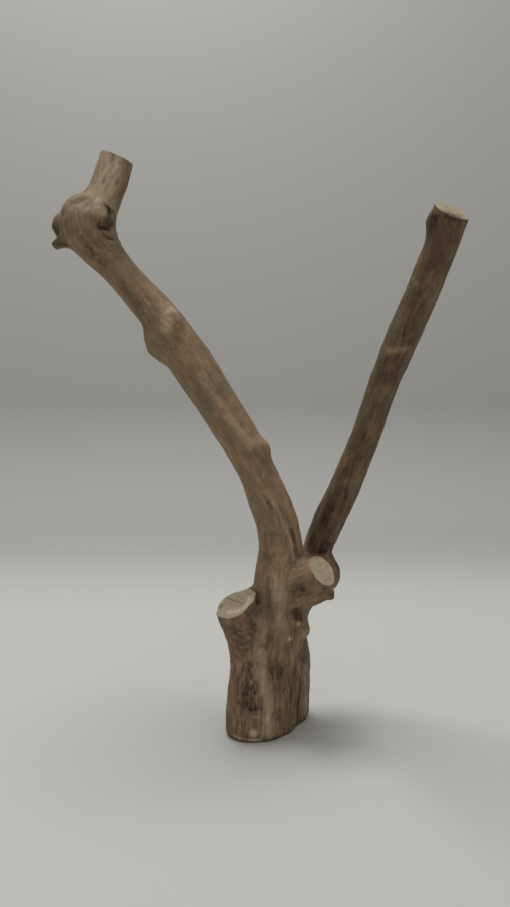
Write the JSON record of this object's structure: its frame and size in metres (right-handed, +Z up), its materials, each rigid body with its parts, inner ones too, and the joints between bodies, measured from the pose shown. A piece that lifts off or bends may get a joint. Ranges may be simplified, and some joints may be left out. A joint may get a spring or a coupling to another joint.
{
  "type": "fallen tree branch",
  "caption": "Weathered, pruned tree branch: a stout butt that forks into two long bare limbs and stands upright on its sawn foot.",
  "frame": {"origin": "middle of the sawn foot of the butt, on the foot's flat face", "axes": "+Z up along the butt, +X towards the dark limb seen from the front, -Y towards the front"},
  "size_m": [0.4026, 0.1693, 0.6027],
  "materials": {
    "fibrous_wood": "weathered inner bark and wood, fibrous, matt",
    "bare_wood": "barkless limb wood, rubbed smooth, matt",
    "dark_wood": "stained barkless limb wood, matt"
  },
  "bodies": {
    "root": {"trunk": "fibrous_wood", "left_limb": "bare_wood", "crook": "bare_wood", "right_limb": "dark_wood"}
  },
  "joints": []
}
